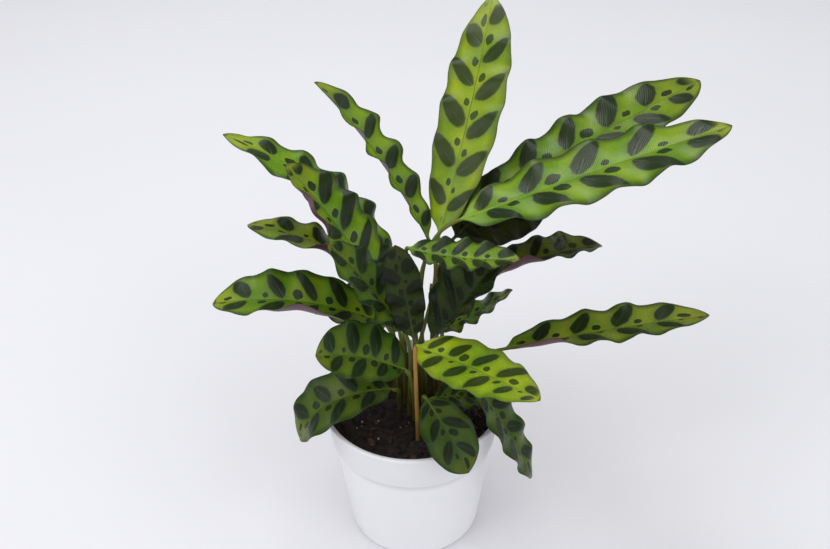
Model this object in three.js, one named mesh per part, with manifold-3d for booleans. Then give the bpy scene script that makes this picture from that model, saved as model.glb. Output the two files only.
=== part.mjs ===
// Rattlesnake plant (Goeppertia insignis) growing in a white plastic nursery pot.
// Millimetres, +Z up. The origin is the centre of the pot's underside, +Y points to the plant's back.
import * as THREE from 'three';
import { mergeVertices } from 'three/addons/utils/BufferGeometryUtils.js';
import Module from 'manifold-3d';

const wasm = await Module();
wasm.setup();

// ---- driving dimensions -------------------------------------------------------------------------

const GAP = 0.3; // clearance between pieces that touch

const POT = {
  height: 132, // to the top of the rolled lip
  baseRadius: 56.7, // outside, above the rounded bottom edge
  ledgeZ: 95.6, // where the upper band steps out
  ledgeRadius: 66.6, // outside, just below the ledge
  bandRadius: 69.2, // outside, just above the ledge
  lipRadius: 75, // outside of the rolled lip
  bandTopRadius: 73.4, // outside, just below the lip
  lipHeight: 4.2,
  lipUnder: 0.8, // slope under the lip
  lipEdge: 1, // rounding of its upper edges
  ledgeRise: 1.2, // height over which the wall steps out
  innerStep: [0, 7], // heights above ledgeZ between which the inside steps out
  wall: 1.5,
  floor: 2.6,
  edgeRound: 3, // radius of the bottom edge, outside
  innerRound: 4, // and inside
  recess: 1.4, // how far the ring of drain holes stands clear of the table
  recessInner: 20,
  recessOuter: 46,
  drainCount: 6,
  drainRing: 33,
  drainRadius: 5,
  sides: 44,
};

const SOIL = {
  level: 121, // mean height of the surface
  lump: 0.8, // height of its lumps
  mound: 2.2, // how far it rises round the stalks
  moundRadius: 30,
  rings: 5,
};

const STALK = {
  footRadius: 1.8, // where the stalk leaves the soil
  neckRadius: 1.35, // where it meets the blade
  depth: 24, // length held in the soil
  clearance: 0.35, // between the stalk and its hole
  holeSides: 8,
  straight: 4.5, // vertical stretch above the soil level
  rise: 0.42, // how strongly the stalk starts upward, as a share of its span
  steps: 5, // rings along the curve
  crowding: 1.5, // above 1 the rings crowd toward the neck, where the stalk bends most
};

const BLADE = {
  halfThickness: 0.48,
  keel: 1.1, // how far the midrib stands out below, at the neck
  broadest: 0.52, // where the blade is widest, as a share of its length
  base: [2.2, 0.62], // powers that round the outline toward the neck
  point: [2.6, 0.74], // and toward the tip
  curl: 0.1, // how far the margins turn down again, as a share of the half width
  turnedPower: 4, // how close to the margin a turned-up margin starts to rise
  tipHalfWidth: 0.6,
  midribSteps: 96,
  ringsPerWave: 4,
  crowding: 0.04, // how far the rings crowd toward both ends
  joinLength: 0.07, // share of the length over which the round stalk flattens into the blade
};

const RIPPLE = {
  start: 4, // how soon the ripples reach full height after the neck
  end: 3, // and how late they fade before the tip
  reach: 1.6, // power with which they grow from the midrib to the margin
  swell: 0.3, // how unequal they are along the blade
  swellTurns: 1.3,
  swellStep: 0.37, // shift of the swell from one leaf to the next, in turns
  step: 0.21, // shift of the ripples from one leaf to the next, in turns
  rightStretch: 1.08, // the right margin ripples a little faster than the left
  rightShift: 0.35,
};

const COLOURS = {
  lime: 0x9fb82f,
  green: 0x6f9a2e,
  dark: 0x35561f,
  olive: 0x5f6f2b,
  pot: 0xf1f1f2,
  soil: 0x2b201a,
};

// One row per leaf, in degrees and millimetres.
//   root     where the stalk leaves the soil (x, y)
//   neck     where the stalk ends and the blade starts (x, y, z); knee is how gently it turns there
//   heading  direction of the blade seen from above, from +X toward +Y; swing is added by the tip
//   pitch    rise of the blade at the neck; arch is taken off by the tip
//   roll     turn of the blade about its midrib; twist is added by the tip
//   fold     angle at which each half rises from the midrib
//   waves    ripples along each margin; ruffle is their height
//   turned   where present, the left (-1) or right (1) half whose margin is turned up, by which height
//            and round which share of the length
const LEAVES = [
  { root: [21, 19], neck: [23, 32, 268], knee: 0.09, heading: 64, swing: 15,
    pitch: 51, arch: 22, length: 213, width: 53, roll: 8, twist: 4, fold: 3,
    waves: 6, ruffle: 2.2, tone: 'lime' },
  { root: [3, 13], neck: [43, 47, 280], knee: 0.32, heading: 20, swing: 16,
    pitch: 22, arch: 16, length: 241, width: 62, roll: -6, twist: -8, fold: 12,
    waves: 6, ruffle: 3.2, tone: 'green' },
  { root: [11, 7], neck: [37, 21, 288], knee: 0.27, heading: 12, swing: -3,
    pitch: 15, arch: 1, length: 220, width: 66, roll: -10, twist: 6, fold: 10,
    waves: 5, ruffle: 4.2, tone: 'green' },
  { root: [1, 18], neck: [16, 44, 256], knee: 0.29, heading: 152, swing: 18,
    pitch: 62, arch: 15, length: 153, width: 39, roll: 0, twist: 6, fold: 36,
    waves: 5, ruffle: 3.5, tone: 'green' },
  { root: [-5, 15], neck: [-13, 72, 217], knee: 0.14, heading: 182, swing: -13,
    pitch: 64, arch: 45, length: 180, width: 47, roll: 22, twist: -27, fold: 11,
    waves: 5, ruffle: 4.8, tone: 'green' },
  { root: [-6, 1], neck: [-18, 14, 221], knee: 0.25, heading: 154, swing: 1,
    pitch: 58, arch: 13, length: 132, width: 63, roll: 5, twist: -7, fold: 19,
    waves: 5, ruffle: 3.5, turned: { half: -1, height: 19, middle: 0.77, spread: 0.22 }, tone: 'green' },
  { root: [-10, 10], neck: [-30, 38, 219], knee: 0.27, heading: 182, swing: -20,
    pitch: 58, arch: 63, length: 117, width: 46, roll: -6, twist: 0, fold: 11,
    waves: 4, ruffle: 2.4, turned: { half: -1, height: 11, middle: 0.45, spread: 0.14 }, tone: 'olive' },
  { root: [-3, -13], neck: [-6, -25, 220], knee: 0.19, heading: 157, swing: 0,
    pitch: 57, arch: 18, length: 88, width: 51, roll: -2, twist: -5, fold: 16,
    waves: 4, ruffle: 3.5, tone: 'dark' },
  { root: [-12, 3], neck: [-24, 16, 198], knee: 0.22, heading: 185, swing: -14,
    pitch: 31, arch: 47, length: 139, width: 56, roll: 16, twist: -7, fold: 22,
    waves: 5, ruffle: 1.9, turned: { half: -1, height: 19, middle: 0.46, spread: 0.2 }, tone: 'green' },
  { root: [1, -18], neck: [-5, -45, 198], knee: 0.06, heading: 172, swing: 12,
    pitch: 26, arch: 28, length: 69, width: 61, roll: 10, twist: 0, fold: 22,
    waves: 4, ruffle: 1.6, tone: 'dark' },
  { root: [-11, -6], neck: [-16, -28, 164], knee: 0.18, heading: 197, swing: -26,
    pitch: 19, arch: 95, length: 98, width: 49, roll: 11, twist: 19, fold: 20,
    waves: 4, ruffle: 2.2, tone: 'dark' },
  { root: [3.5, -41], neck: [4, -43, 220], knee: 0.04, heading: 328, swing: 0,
    pitch: -1, arch: 8, length: 101, width: 58, roll: -6, twist: 22, fold: 9,
    waves: 5, ruffle: 1.3, tone: 'lime' },
  { root: [9, -23], neck: [10, -48, 172], knee: 0.1, heading: 310, swing: 0,
    pitch: -33, arch: 18, length: 65, width: 45, roll: 0, twist: 0, fold: 10,
    waves: 3, ruffle: 1.2, tone: 'dark' },
  { root: [19, 0], neck: [49, -22, 165], knee: 0.18, heading: 321, swing: 17,
    pitch: -44, arch: 23, length: 97, width: 44, roll: 9, twist: 0, fold: 14,
    waves: 4, ruffle: 2.5, tone: 'dark' },
  { root: [21, 7], neck: [74, 10, 171], knee: 0.28, heading: 5, swing: 3,
    pitch: 9, arch: 8, length: 174, width: 48, roll: 2, twist: 0, fold: 20,
    waves: 5, ruffle: 2.3, turned: { half: 1, height: 17, middle: 0.13, spread: 0.15 }, tone: 'olive' },
  { root: [17, 13], neck: [23, 4, 196], knee: 0.16, heading: 8, swing: -5,
    pitch: 24, arch: -15, length: 67, width: 30, roll: 0, twist: 17, fold: 12,
    waves: 4, ruffle: 2.6, tone: 'green' },
  { root: [12, 20], neck: [55, 38, 218], knee: 0.33, heading: 13, swing: 9,
    pitch: 23, arch: 34, length: 113, width: 47, roll: 6, twist: 0, fold: 24,
    waves: 5, ruffle: 2, turned: { half: 1, height: 12, middle: 0.3, spread: 0.16 }, tone: 'olive' },
  { root: [7, 2], neck: [-1, -12, 286], knee: 0.04, heading: 344, swing: 8,
    pitch: -9, arch: -17, length: 82, width: 43, roll: 0, twist: 6, fold: 16,
    waves: 5, ruffle: 2, tone: 'green' },
  { root: [17, 27], neck: [37, 56, 251], knee: 0.22, heading: 35, swing: -25,
    pitch: 28, arch: 32, length: 92, width: 62, roll: -35, twist: 0, fold: 2,
    waves: 4, ruffle: 2.5, tone: 'olive' },
  { root: [12, -3], neck: [15, -14, 200], knee: 0.25, heading: 11, swing: 21,
    pitch: 49, arch: 0, length: 92, width: 72, roll: 12, twist: -12, fold: 32,
    waves: 4, ruffle: 2.5, tone: 'dark' },
  { root: [2, -4], neck: [2, -33, 219], knee: 0.31, heading: 150, swing: 0,
    pitch: 80, arch: 0, length: 80, width: 28, roll: 52, twist: 5, fold: 5,
    waves: 4, ruffle: 2.5, tone: 'dark' },
  { root: [13, -21], neck: [16, -26, 152], knee: 0.2, heading: 350, swing: 20,
    pitch: 20, arch: 50, length: 40, width: 28, roll: 0, twist: 0, fold: 12,
    waves: 3, ruffle: 2, tone: 'dark' },
  { root: [18, -9], neck: [22, -12, 142], knee: 0.2, heading: 350, swing: 10,
    pitch: 10, arch: 20, length: 38, width: 28, roll: 0, twist: 0, fold: 12,
    waves: 3, ruffle: 1.5, tone: 'olive' },
  { root: [-6, 22], neck: [-7, 50, 172], knee: 0.22, heading: 99, swing: 6,
    pitch: 28, arch: 60, length: 120, width: 46, roll: 0, twist: 0, fold: 10,
    waves: 4, ruffle: 3, tone: 'green' },
  { root: [-14, 16], neck: [-24, 40, 166], knee: 0.2, heading: 135, swing: 12,
    pitch: 26, arch: 50, length: 94, width: 50, roll: 0, twist: 0, fold: 10,
    waves: 4, ruffle: 3, tone: 'green' },
  { root: [25, 28], neck: [27, 45, 170], knee: 0.24, heading: 80, swing: -6,
    pitch: 26, arch: 60, length: 88, width: 36, roll: 0, twist: 0, fold: 10,
    waves: 4, ruffle: 3, tone: 'green' },
];

// ---- solids -------------------------------------------------------------------------------------

function mergedByPlace(geometry) {
  const bare = geometry.clone();
  bare.deleteAttribute('normal');
  bare.deleteAttribute('uv');
  return mergeVertices(bare, 1e-4);
}

function toSolid(geometry) {
  const merged = mergedByPlace(geometry);
  const mesh = new wasm.Mesh({
    numProp: 3,
    vertProperties: new Float32Array(merged.attributes.position.array),
    triVerts: new Uint32Array(merged.index.array),
  });
  return new wasm.Manifold(mesh);
}

function toGeometry(solid) {
  const mesh = solid.getMesh();
  const geometry = new THREE.BufferGeometry();
  geometry.setAttribute('position', new THREE.BufferAttribute(new Float32Array(mesh.vertProperties), 3));
  geometry.setIndex(new THREE.BufferAttribute(new Uint32Array(mesh.triVerts), 1));
  geometry.computeVertexNormals();
  return geometry;
}

// A closed body of revolution about Z from a profile of [radius, z] pairs that starts and ends on the axis.
function revolved(profile, sides) {
  const points = profile.map(([radius, z]) => new THREE.Vector2(radius, z));
  const geometry = new THREE.LatheGeometry(points, sides);
  geometry.rotateX(Math.PI / 2);
  return geometry;
}

function upright(radius, low, high, x, y, sides) {
  const geometry = new THREE.CylinderGeometry(radius, radius, high - low, sides);
  geometry.rotateX(Math.PI / 2);
  geometry.translate(x, y, (low + high) / 2);
  return geometry;
}

// ---- pot ----------------------------------------------------------------------------------------

// Inner radius of the pot at a height.
function potInside(z) {
  const ledge = POT.ledgeZ;
  if (z <= ledge) {
    return THREE.MathUtils.mapLinear(z, 0, ledge, POT.baseRadius, POT.ledgeRadius) - POT.wall;
  }
  return THREE.MathUtils.mapLinear(z, ledge, POT.height, POT.bandRadius, POT.bandTopRadius) - POT.wall;
}

// Heights at which the inside changes direction, from the floor up.
function innerLevels() {
  const floorTop = POT.floor + POT.recess;
  return [floorTop, floorTop + POT.innerRound, ...POT.innerStep.map((rise) => POT.ledgeZ + rise)];
}

function potProfile() {
  const { height, edgeRound, recess, lipRadius, lipEdge } = POT;
  const footRadius = POT.baseRadius - edgeRound;
  const lipInside = POT.bandTopRadius - POT.wall;
  const lipLow = height - POT.lipHeight;
  const underside = [
    [0, 0],
    [POT.recessInner, 0],
    [POT.recessInner + recess, recess],
    [POT.recessOuter - recess, recess],
    [POT.recessOuter, 0],
    [footRadius, 0],
  ];
  const outside = [
    [footRadius + edgeRound * 0.7, edgeRound * 0.3],
    [POT.baseRadius, edgeRound],
    [POT.ledgeRadius, POT.ledgeZ],
    [POT.bandRadius, POT.ledgeZ + POT.ledgeRise],
    [POT.bandTopRadius, lipLow],
    [lipRadius, lipLow + POT.lipUnder],
    [lipRadius, height - lipEdge],
    [lipRadius - lipEdge, height],
    [lipInside + lipEdge, height],
    [lipInside, height - lipEdge],
  ];
  const [floorTop, roundTop, stepLow, stepHigh] = innerLevels();
  const inside = [
    [potInside(stepHigh), stepHigh],
    [potInside(stepLow), stepLow],
    [potInside(roundTop), roundTop],
    [potInside(floorTop) - POT.innerRound, floorTop],
    [0, floorTop],
  ];
  return [...underside, ...outside, ...inside];
}

function potGeometry() {
  let pot = toSolid(revolved(potProfile(), POT.sides));
  const holeTop = POT.floor + POT.recess + 1;
  for (let i = 0; i < POT.drainCount; i += 1) {
    const angle = ((i + 0.5) / POT.drainCount) * Math.PI * 2;
    const x = POT.drainRing * Math.cos(angle);
    const y = POT.drainRing * Math.sin(angle);
    pot = pot.subtract(toSolid(upright(POT.drainRadius, -1, holeTop, x, y, 12)));
  }
  return toGeometry(pot);
}

// ---- soil ---------------------------------------------------------------------------------------

function soilHeight(x, y) {
  const mound = SOIL.mound * Math.exp(-((Math.hypot(x, y) / SOIL.moundRadius) ** 2));
  const lumps = Math.sin(x * 0.16 + 1) * Math.sin(y * 0.19 + 2) + 0.6 * Math.sin(x * 0.31 - y * 0.27);
  return SOIL.level + mound + SOIL.lump * lumps;
}

function soilGeometry() {
  const [floorTop, roundTop, stepLow, stepHigh] = innerLevels();
  const rim = potInside(SOIL.level) - GAP;
  const profile = [
    [0, floorTop + GAP],
    [potInside(floorTop) - POT.innerRound - GAP, floorTop + GAP],
    [potInside(roundTop) - GAP, roundTop + GAP],
    [potInside(stepLow) - GAP, stepLow],
    [potInside(stepHigh) - GAP, stepHigh],
    [rim, SOIL.level],
  ];
  for (let ring = 1; ring <= SOIL.rings; ring += 1) {
    profile.push([rim * (1 - ring / SOIL.rings), SOIL.level]);
  }
  const geometry = mergedByPlace(revolved(profile, POT.sides));
  const { position } = geometry.attributes;
  for (let i = 0; i < position.count; i += 1) {
    if (position.getZ(i) === SOIL.level) {
      position.setZ(i, soilHeight(position.getX(i), position.getY(i)));
    }
  }
  let soil = toSolid(geometry);
  const holeRadius = (STALK.footRadius + STALK.clearance) / Math.cos(Math.PI / STALK.holeSides);
  const holeLow = SOIL.level - STALK.depth - STALK.clearance;
  const holeHigh = SOIL.level + STALK.depth;
  for (const { root: [x, y] } of LEAVES) {
    soil = soil.subtract(toSolid(upright(holeRadius, holeLow, holeHigh, x, y, STALK.holeSides)));
  }
  return toGeometry(soil);
}

// ---- leaves -------------------------------------------------------------------------------------

const COLUMNS = [-1, -0.5, 0, 0.5, 1];
const DEGREE = THREE.MathUtils.degToRad(1);

// Unit direction of the midrib at a share s of the blade's length.
function heading(leaf, s) {
  const around = (leaf.heading + leaf.swing * s) * DEGREE;
  const rise = (leaf.pitch - leaf.arch * s) * DEGREE;
  return new THREE.Vector3(
    Math.cos(rise) * Math.cos(around),
    Math.cos(rise) * Math.sin(around),
    Math.sin(rise),
  );
}

// Points along the midrib, from the neck to the tip.
function midribPoints(leaf) {
  const steps = BLADE.midribSteps;
  const points = [new THREE.Vector3(...leaf.neck)];
  for (let i = 0; i < steps; i += 1) {
    const step = heading(leaf, (i + 0.5) / steps).multiplyScalar(leaf.length / steps);
    points.push(points[i].clone().add(step));
  }
  return points;
}

function pointAlong(points, s) {
  const at = s * (points.length - 1);
  const i = Math.min(Math.floor(at), points.length - 2);
  return points[i].clone().lerp(points[i + 1], at - i);
}

// The blade's own directions at s: along the midrib, across the blade and out of its upper face.
function bladeFrame(leaf, s) {
  const along = heading(leaf, s);
  const around = (leaf.heading + leaf.swing * s) * DEGREE;
  const level = new THREE.Vector3(Math.sin(around), -Math.cos(around), 0);
  const upper = level.clone().cross(along);
  const roll = (leaf.roll + leaf.twist * s) * DEGREE;
  const across = level.clone().multiplyScalar(Math.cos(roll)).addScaledVector(upper, Math.sin(roll));
  const out = upper.multiplyScalar(Math.cos(roll)).addScaledVector(level, -Math.sin(roll));
  return { along, across, out };
}

// Half width of the blade at s, as a share of its greatest half width.
function outline(s) {
  const { broadest, base, point } = BLADE;
  if (s < broadest) {
    return (1 - ((broadest - s) / broadest) ** base[0]) ** base[1];
  }
  return (1 - ((s - broadest) / (1 - broadest)) ** point[0]) ** point[1];
}

// Height by which a turned-up margin stands above the rest of its half.
function turnedUp({ turned }, s, v) {
  if (!turned || v * turned.half <= 0) return 0;
  const near = Math.exp(-(((s - turned.middle) / turned.spread) ** 2));
  return turned.height * near * Math.abs(v) ** BLADE.turnedPower;
}

// Height of the blade above its midrib, at a share v of the half width on either side.
function lift(leaf, number, s, v) {
  const side = Math.abs(v);
  const halfWidth = (leaf.width / 2) * outline(s);
  const dish = halfWidth * (Math.sin(leaf.fold * DEGREE) * side - BLADE.curl * side * side);
  const fade = Math.min(1, RIPPLE.start * s) * Math.min(1, RIPPLE.end * (1 - s));
  const swellTurns = RIPPLE.swellTurns * s + RIPPLE.swellStep * number;
  const swell = 1 + RIPPLE.swell * Math.sin(Math.PI * 2 * swellTurns);
  const turns = v > 0 ? RIPPLE.rightStretch * s + RIPPLE.rightShift : s;
  const wave = Math.sin(Math.PI * 2 * (leaf.waves * turns + RIPPLE.step * number));
  return dish + fade * (turnedUp(leaf, s, v) + leaf.ruffle * swell * side ** RIPPLE.reach * wave);
}

// Ten points round a section that is a decagon where flat is 0 and a thin keeled lens where it is 1.
function section(centre, across, out, radius, flat, halfWidth, keel, liftAt) {
  const upper = [];
  const lower = [];
  COLUMNS.forEach((v, column) => {
    const round = (Math.PI * (COLUMNS.length - column - 0.5)) / COLUMNS.length;
    const x = THREE.MathUtils.lerp(radius * Math.cos(round), halfWidth * v, flat);
    const high = THREE.MathUtils.lerp(radius * Math.sin(round), BLADE.halfThickness, flat);
    const low = v === 0 ? high + keel * flat : high;
    const bend = flat * liftAt(v);
    const spot = centre.clone().addScaledVector(across, x);
    upper.push(spot.clone().addScaledVector(out, bend + high));
    lower.push(spot.clone().addScaledVector(out, bend - low));
  });
  return [...upper, ...lower.reverse()];
}

function stalkSections(leaf) {
  const { along, across, out } = bladeFrame(leaf, 0);
  const neck = new THREE.Vector3(...leaf.neck);
  const [x, y] = leaf.root;
  const top = new THREE.Vector3(x, y, SOIL.level + STALK.straight);
  const span = neck.distanceTo(top);
  const curve = new THREE.CubicBezierCurve3(
    top,
    top.clone().add(new THREE.Vector3(0, 0, span * STALK.rise)),
    neck.clone().addScaledVector(along, -span * leaf.knee),
    neck,
  );
  const up = new THREE.Vector3(0, 0, 1);
  const stations = [
    { centre: new THREE.Vector3(x, y, SOIL.level - STALK.depth), direction: up, share: 0 },
    { centre: top, direction: up, share: 0 },
  ];
  for (let i = 1; i < STALK.steps; i += 1) {
    const share = 1 - (1 - i / STALK.steps) ** STALK.crowding;
    stations.push({ centre: curve.getPoint(share), direction: curve.getTangent(share), share });
  }
  const sections = [];
  const frame = { direction: along, across, out };
  for (const { centre, direction, share } of stations.reverse()) {
    const turn = new THREE.Quaternion().setFromUnitVectors(frame.direction, direction);
    frame.across.applyQuaternion(turn);
    frame.out.applyQuaternion(turn);
    frame.direction = direction;
    const radius = THREE.MathUtils.lerp(STALK.footRadius, STALK.neckRadius, share);
    sections.unshift(section(centre, frame.across, frame.out, radius, 0, radius, 0, () => 0));
  }
  return sections;
}

function bladeSections(leaf, number) {
  const points = midribPoints(leaf);
  const count = leaf.waves * BLADE.ringsPerWave + 2;
  const sections = [];
  for (let i = 0; i <= count; i += 1) {
    const even = i / count;
    const s = even - BLADE.crowding * Math.sin(Math.PI * 2 * even);
    const { across, out } = bladeFrame(leaf, s);
    const flat = THREE.MathUtils.smoothstep(s, 0, BLADE.joinLength);
    const spread = (leaf.width / 2) * outline(s) * Math.cos(leaf.fold * DEGREE);
    const halfWidth = Math.max(spread, BLADE.tipHalfWidth);
    const keel = BLADE.keel * (1 - s);
    const liftAt = (v) => lift(leaf, number, s, v);
    sections.push(
      section(pointAlong(points, s), across, out, STALK.neckRadius, flat, halfWidth, keel, liftAt),
    );
  }
  return sections;
}

// A closed skin through the sections. Both faces of the blade are split along the same diagonals.
function leafGeometry(leaf, number) {
  const sections = [...stalkSections(leaf), ...bladeSections(leaf, number)];
  const round = sections[0].length;
  const index = [];
  for (let i = 0; i + 1 < sections.length; i += 1) {
    for (let j = 0; j < round; j += 1) {
      const a = i * round + j;
      const b = i * round + ((j + 1) % round);
      const onUpper = j < round / 2;
      if (onUpper) {
        index.push(a, b + round, a + round, a, b, b + round);
      } else {
        index.push(a, b, a + round, b, b + round, a + round);
      }
    }
  }
  const last = (sections.length - 1) * round;
  for (let j = 1; j + 1 < round; j += 1) {
    index.push(0, j + 1, j);
    index.push(last, last + j, last + j + 1);
  }
  const geometry = new THREE.BufferGeometry();
  geometry.setFromPoints(sections.flat());
  geometry.setIndex(index);
  geometry.computeVertexNormals();
  return geometry;
}

// ---- the plant ----------------------------------------------------------------------------------

function piece(name, geometry, colour, roughness) {
  const material = new THREE.MeshStandardMaterial({ color: colour, roughness, metalness: 0 });
  const mesh = new THREE.Mesh(geometry, material);
  mesh.name = name;
  return mesh;
}

const plant = new THREE.Group();
plant.name = 'rattlesnake_plant';
plant.add(piece('pot', potGeometry(), COLOURS.pot, 0.45));
plant.add(piece('soil', soilGeometry(), COLOURS.soil, 0.95));
LEAVES.forEach((leaf, i) => {
  const number = i + 1;
  const name = `leaf_${String(number).padStart(2, '0')}`;
  plant.add(piece(name, leafGeometry(leaf, number), COLOURS[leaf.tone], 0.4));
});

export default plant;
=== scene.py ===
"""Rattlesnake plant (Goeppertia insignis) growing in a white plastic nursery pot.

Metres, +Z up. The origin is the centre of the pot's underside and +Y points to the plant's back.
"""

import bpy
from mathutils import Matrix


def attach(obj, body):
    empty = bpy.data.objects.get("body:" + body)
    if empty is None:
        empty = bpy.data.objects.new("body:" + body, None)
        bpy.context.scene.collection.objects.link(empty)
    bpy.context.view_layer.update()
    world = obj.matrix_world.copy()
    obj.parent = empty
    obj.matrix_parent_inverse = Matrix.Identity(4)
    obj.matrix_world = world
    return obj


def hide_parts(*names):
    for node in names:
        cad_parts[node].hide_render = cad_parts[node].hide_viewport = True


bl_info = {
    "name": "Rattlesnake plant in a nursery pot",
    "version": (1, 0, 0),
    "blender": (4, 5, 0),
    "location": "3D View > Sidebar > Plant",
    "description": "Models the leaves, the potting mix and the pot of a rattlesnake plant",
    "category": "Add Mesh",
}

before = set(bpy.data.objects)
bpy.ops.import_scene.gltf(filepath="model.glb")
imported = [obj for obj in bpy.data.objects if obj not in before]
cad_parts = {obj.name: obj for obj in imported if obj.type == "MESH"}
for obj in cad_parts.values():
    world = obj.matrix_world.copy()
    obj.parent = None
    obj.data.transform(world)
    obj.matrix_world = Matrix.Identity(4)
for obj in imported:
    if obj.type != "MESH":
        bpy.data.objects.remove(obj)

import math
import random
from collections import namedtuple

import bpy
import numpy as np
from bpy.props import FloatProperty, FloatVectorProperty, IntProperty, PointerProperty
from bpy.types import Operator, Panel, PropertyGroup
from mathutils import Matrix, Vector, noise

MM = 0.001

# One row per leaf, in millimetres and degrees.
#   root (x, y) where the stalk leaves the mix; neck (x, y, z) where the blade starts; knee, how gently it
#   turns there; heading of the blade from +X toward +Y, swing added by the tip; pitch at the neck, arch
#   taken off by the tip; length, width; roll about the midrib, twist added by the tip, fold of each half;
#   waves along each margin, ruffle their height; tone of the upper face
LEAVES = (
    ((21, 19), (23, 32, 268), 0.09, (64, 15, 51, 22), (213, 53), (8, 4, 3), (6, 2.2), "lime"),
    ((3, 13), (43, 47, 280), 0.32, (20, 16, 22, 16), (241, 62), (-6, -8, 12), (6, 3.2), "green"),
    ((11, 7), (37, 21, 288), 0.27, (12, -3, 15, 1), (220, 66), (-10, 6, 10), (5, 4.2), "green"),
    ((1, 18), (16, 44, 256), 0.29, (152, 18, 62, 15), (153, 39), (0, 6, 36), (5, 3.5), "green"),
    ((-5, 15), (-13, 72, 217), 0.14, (182, -13, 64, 45), (180, 47), (22, -27, 11), (5, 4.8), "green"),
    ((-6, 1), (-18, 14, 221), 0.25, (154, 1, 58, 13), (132, 63), (5, -7, 19), (5, 3.5), "green"),
    ((-10, 10), (-30, 38, 219), 0.27, (182, -20, 58, 63), (117, 46), (-6, 0, 11), (4, 2.4), "olive"),
    ((-3, -13), (-6, -25, 220), 0.19, (157, 0, 57, 18), (88, 51), (-2, -5, 16), (4, 3.5), "dark"),
    ((-12, 3), (-24, 16, 198), 0.22, (185, -14, 31, 47), (139, 56), (16, -7, 22), (5, 1.9), "green"),
    ((1, -18), (-5, -45, 198), 0.06, (172, 12, 26, 28), (69, 61), (10, 0, 22), (4, 1.6), "dark"),
    ((-11, -6), (-16, -28, 164), 0.18, (197, -26, 19, 95), (98, 49), (11, 19, 20), (4, 2.2), "dark"),
    ((3.5, -41), (4, -43, 220), 0.04, (328, 0, -1, 8), (101, 58), (-6, 22, 9), (5, 1.3), "lime"),
    ((9, -23), (10, -48, 172), 0.1, (310, 0, -33, 18), (65, 45), (0, 0, 10), (3, 1.2), "dark"),
    ((19, 0), (49, -22, 165), 0.18, (321, 17, -44, 23), (97, 44), (9, 0, 14), (4, 2.5), "dark"),
    ((21, 7), (74, 10, 171), 0.28, (5, 3, 9, 8), (174, 48), (2, 0, 20), (5, 2.3), "olive"),
    ((17, 13), (23, 4, 196), 0.16, (8, -5, 24, -15), (67, 30), (0, 17, 12), (4, 2.6), "green"),
    ((12, 20), (55, 38, 218), 0.33, (13, 9, 23, 34), (113, 47), (6, 0, 24), (5, 2), "olive"),
    ((7, 2), (-1, -12, 286), 0.04, (344, 8, -9, -17), (82, 43), (0, 6, 16), (5, 2), "green"),
    ((17, 27), (37, 56, 251), 0.22, (35, -25, 28, 32), (92, 62), (-35, 0, 2), (4, 2.5), "olive"),
    ((12, -3), (15, -14, 200), 0.25, (11, 21, 49, 0), (92, 72), (12, -12, 32), (4, 2.5), "dark"),
    ((2, -4), (2, -33, 219), 0.31, (150, 0, 80, 0), (80, 28), (52, 5, 5), (4, 2.5), "dark"),
    ((13, -21), (16, -26, 152), 0.2, (350, 20, 20, 50), (40, 28), (0, 0, 12), (3, 2), "dark"),
    ((18, -9), (22, -12, 142), 0.2, (350, 10, 10, 20), (38, 28), (0, 0, 12), (3, 1.5), "olive"),
    ((-6, 22), (-7, 50, 172), 0.22, (99, 6, 28, 60), (120, 46), (0, 0, 10), (4, 3), "green"),
    ((-14, 16), (-24, 40, 166), 0.2, (135, 12, 26, 50), (94, 50), (0, 0, 10), (4, 3), "green"),
    ((25, 28), (27, 45, 170), 0.24, (80, -6, 26, 60), (88, 36), (0, 0, 10), (4, 3), "green"),
)

TAN_STALKS = {1: 0.25, 12: 1.0, 15: 0.3, 19: 0.5}  # how tan a stalk is, by leaf number
# Partly a blade's own darker tone and partly painted shade; the highest values, for blades deep inside the
# plant, are painted shade.
# How much darker than its tone a blade is: what is usual, and what differs by leaf number.
USUAL_SHADE = 0.35
SHADES = {
    1: 0.45, 2: 0.57, 3: 0.33, 4: 0.35, 5: 0.1, 6: 0.3, 7: 0.0, 8: 0.15, 9: 0.45, 10: 0.2, 11: 0.35, 12: 0.15,
    13: 0.5, 14: 0.4, 15: 0.5, 16: 0.0, 17: 1.1, 18: 0.5, 19: 1.5, 20: 1.05, 21: 1.2,
}
# Lean of the marks on the left and right half, and their size, by leaf number; 1 is usual.
LEANS = {
    1: (1.4, 1.4), 2: (1.1, 1.1), 3: (1.2, 1.3), 10: (0.35, 0.35), 11: (0.7, 0.7), 12: (0.8, -0.3),
    13: (1.3, 1.3), 15: (1.2, 1.2), 18: (0.8, 0.8),
}
MARK_SIZES = {1: 1.14, 2: 1.08, 3: 1.05, 6: 1.15, 8: 1.2, 10: 1.1, 18: 1.4, 19: 0.6, 21: 1.3}
# Margin turned up, by leaf number: left (-1) or right (1) half, height, middle and spread along the blade.
TURNED = {
    6: (-1, 19, 0.77, 0.22), 7: (-1, 11, 0.45, 0.14), 9: (-1, 19, 0.46, 0.2), 15: (1, 17, 0.13, 0.15),
    17: (1, 12, 0.3, 0.16),
}

# Columns across each half of a blade, as shares of its half width: close together at the midrib and margin.
HALF_COLUMNS = (0.035, 0.09, 0.19, 0.31, 0.44, 0.57, 0.7, 0.81, 0.9, 0.96, 1.0)
COLUMNS = np.array([-x for x in reversed(HALF_COLUMNS)] + [0.0] + list(HALF_COLUMNS))


# ---- sizes and colours ---------------------------------------------------------------------------


def linear(code):
    """Scene-linear red, green and blue of a colour written as 0xrrggbb."""
    parts = [((code >> shift) & 255) / 255 for shift in (16, 8, 0)]
    return tuple(x / 12.92 if x <= 0.04045 else ((x + 0.055) / 1.055) ** 2.4 for x in parts)


def length(name, description, default):
    return FloatProperty(
        name=name, description=description, default=default, min=0, subtype="DISTANCE", unit="LENGTH"
    )


def share(name, description, default):
    return FloatProperty(name=name, description=description, default=default, min=0, max=1, subtype="FACTOR")


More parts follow.
